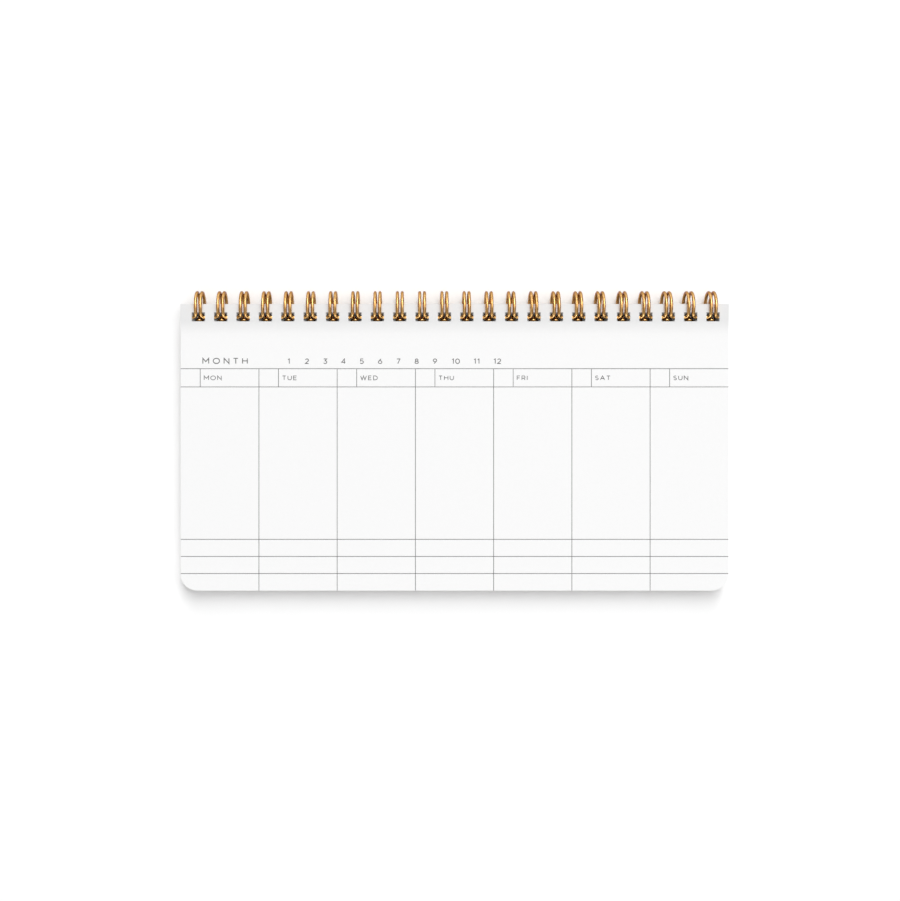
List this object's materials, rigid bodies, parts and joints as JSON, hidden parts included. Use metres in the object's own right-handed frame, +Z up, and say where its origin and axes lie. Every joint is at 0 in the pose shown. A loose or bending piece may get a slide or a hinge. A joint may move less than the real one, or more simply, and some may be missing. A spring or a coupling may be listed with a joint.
{
  "type": "wire-bound weekly planner pad",
  "caption": "Landscape week-to-view desk pad: ruled leaves and a card back, bound along the top edge by a twin-loop wire that the leaves turn on.",
  "frame": {"origin": "middle of the footprint, on the table that the pad lies on", "axes": "+X along the bound edge to the reader's right, +Y from the free edge to the bound edge, +Z up; the leaves lean 1.1 degrees about X"},
  "size_m": [0.2074, 0.114, 0.012],
  "materials": {
    "board": "matt grey-brown chipboard",
    "leaves": "smooth matt white writing paper",
    "ruling": "matt grey ink",
    "wire": "bright plated wire, brass to light copper in colour"
  },
  "bodies": {
    "board": {"back_board": "board"},
    "pages": {"page_block": "leaves", "ruled_lines": "ruling", "wire_binding": "wire"}
  },
  "joints": [
    {"name": "pages_turn", "type": "hinge", "parent": "board", "child": "pages", "pos_m": [0, 0.05095, 0.00602], "axis": [-1, 0, 0], "range_deg": [0, 150]}
  ]
}
